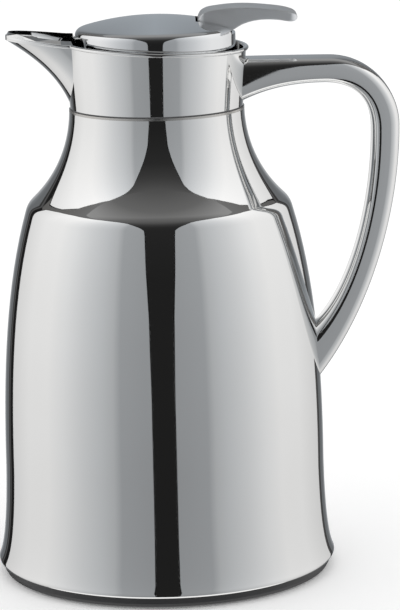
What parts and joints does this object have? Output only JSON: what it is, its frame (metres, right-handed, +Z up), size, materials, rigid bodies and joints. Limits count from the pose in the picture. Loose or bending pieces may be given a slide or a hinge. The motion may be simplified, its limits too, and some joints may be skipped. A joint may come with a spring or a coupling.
{
  "type": "vacuum carafe",
  "caption": "Polished steel vacuum carafe with a beaked spout, a D-shaped handle and a stopper lid whose thumb lever lifts a pouring valve.",
  "frame": {"origin": "centre of the foot pad's resting face, on the body's axis", "axes": "+Z up along the body's axis, +X towards the handle, -X towards the spout"},
  "size_m": [0.1784, 0.148, 0.2471],
  "materials": {
    "polished_steel": "mirror polish",
    "polished_cast": "mirror polish on a casting",
    "polished_lid": "chrome plate on a moulding",
    "polished_lever": "chrome plate on a casting",
    "inner_steel": "drawn and lightly brushed",
    "foil": "crinkled foil",
    "screw_steel": "machined",
    "spring_steel": "drawn wire",
    "black_plastic": "fine moulded grain",
    "foam": "closed cell foam",
    "seal_silicone": "satin silicone",
    "foot_rubber": "fine ribbed rubber"
  },
  "bodies": {
    "jug": {"outer_shell": "polished_steel", "shell_bottom": "inner_steel", "inner_liner": "inner_steel", "foil_wrap": "foil", "getter": "inner_steel", "evacuation_seal": "inner_steel", "base_cap": "black_plastic", "foot_pad": "foot_rubber", "neck_ring": "inner_steel", "collar_gasket": "seal_silicone", "collar": "polished_steel", "handle": "polished_cast", "handle_bracket": "inner_steel", "handle_screws_upper": "screw_steel", "handle_screw_lower": "screw_steel"},
    "seal": {"stopper_seal": "seal_silicone"},
    "lid": {"lid_cover": "polished_lid", "stopper_body": "black_plastic", "stopper_base": "black_plastic", "stopper_foam": "foam", "lid_screws": "screw_steel", "lever_pin": "screw_steel", "valve_spring": "spring_steel"},
    "thumb_lever": {"lever": "polished_lever"},
    "valve": {"valve_stem": "screw_steel", "stem_nut": "screw_steel", "valve_disc": "black_plastic", "valve_gasket": "seal_silicone", "spring_retainer": "screw_steel"}
  },
  "joints": [
    {"name": "lid_lift", "type": "slide", "parent": "jug", "child": "seal", "axis": [0, 0, 1], "range_m": [0, 0.065]},
    {"name": "lid_turn", "type": "hinge", "parent": "seal", "child": "lid", "pos_m": [0, 0, 0.2], "axis": [0, 0, 1], "range_deg": [0, 90]},
    {"name": "lever_press", "type": "hinge", "parent": "lid", "child": "thumb_lever", "pos_m": [0.0295, 0, 0.234], "axis": [0, 1, 0], "range_deg": [0, 10], "stiffness_Nm_per_rad": 0.4, "springref_deg": -14.32},
    {"name": "valve_lift", "type": "slide", "parent": "lid", "child": "valve", "axis": [0, 0, 1], "range_m": [0, 0.0047], "deforming": ["valve_spring"]}
  ],
  "couplings": [
    {"joint": "valve_lift", "follows": "lever_press", "m_per_rad": 0.0259}
  ]
}
